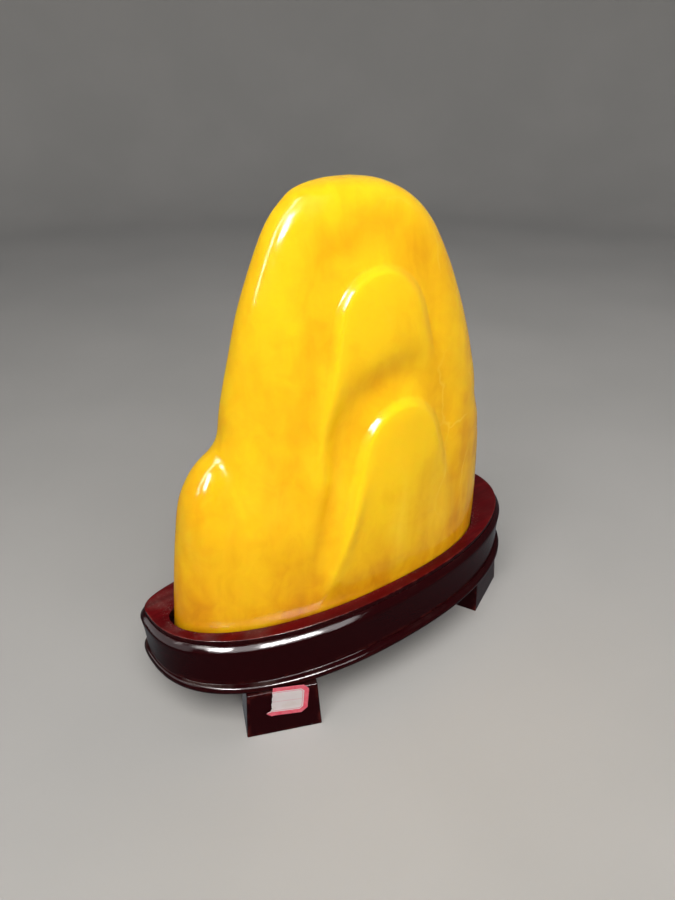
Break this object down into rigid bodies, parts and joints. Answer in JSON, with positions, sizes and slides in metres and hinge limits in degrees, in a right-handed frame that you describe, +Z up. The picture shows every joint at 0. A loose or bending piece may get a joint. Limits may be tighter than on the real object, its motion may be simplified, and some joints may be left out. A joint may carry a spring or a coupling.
{
  "type": "polished stone ornament on stand",
  "caption": "Polished yellow translucent stone worked as a layered mountain, standing in the recess of a dark red lacquered wooden stand on block feet.",
  "frame": {"origin": "on the ground under the middle of the stand", "axes": "+Z up, +X along the stand's length, -Y towards the carved front of the stone"},
  "size_m": [0.3996, 0.1561, 0.432],
  "materials": {
    "stone": "polished, waxy and translucent",
    "lacquered_wood": "gloss lacquer",
    "label": "plain paper"
  },
  "bodies": {
    "root": {"stone": "stone", "stand_board": "lacquered_wood", "foot_front_left": "lacquered_wood", "foot_front_right": "lacquered_wood", "foot_back_left": "lacquered_wood", "foot_back_right": "lacquered_wood"}
  },
  "joints": []
}
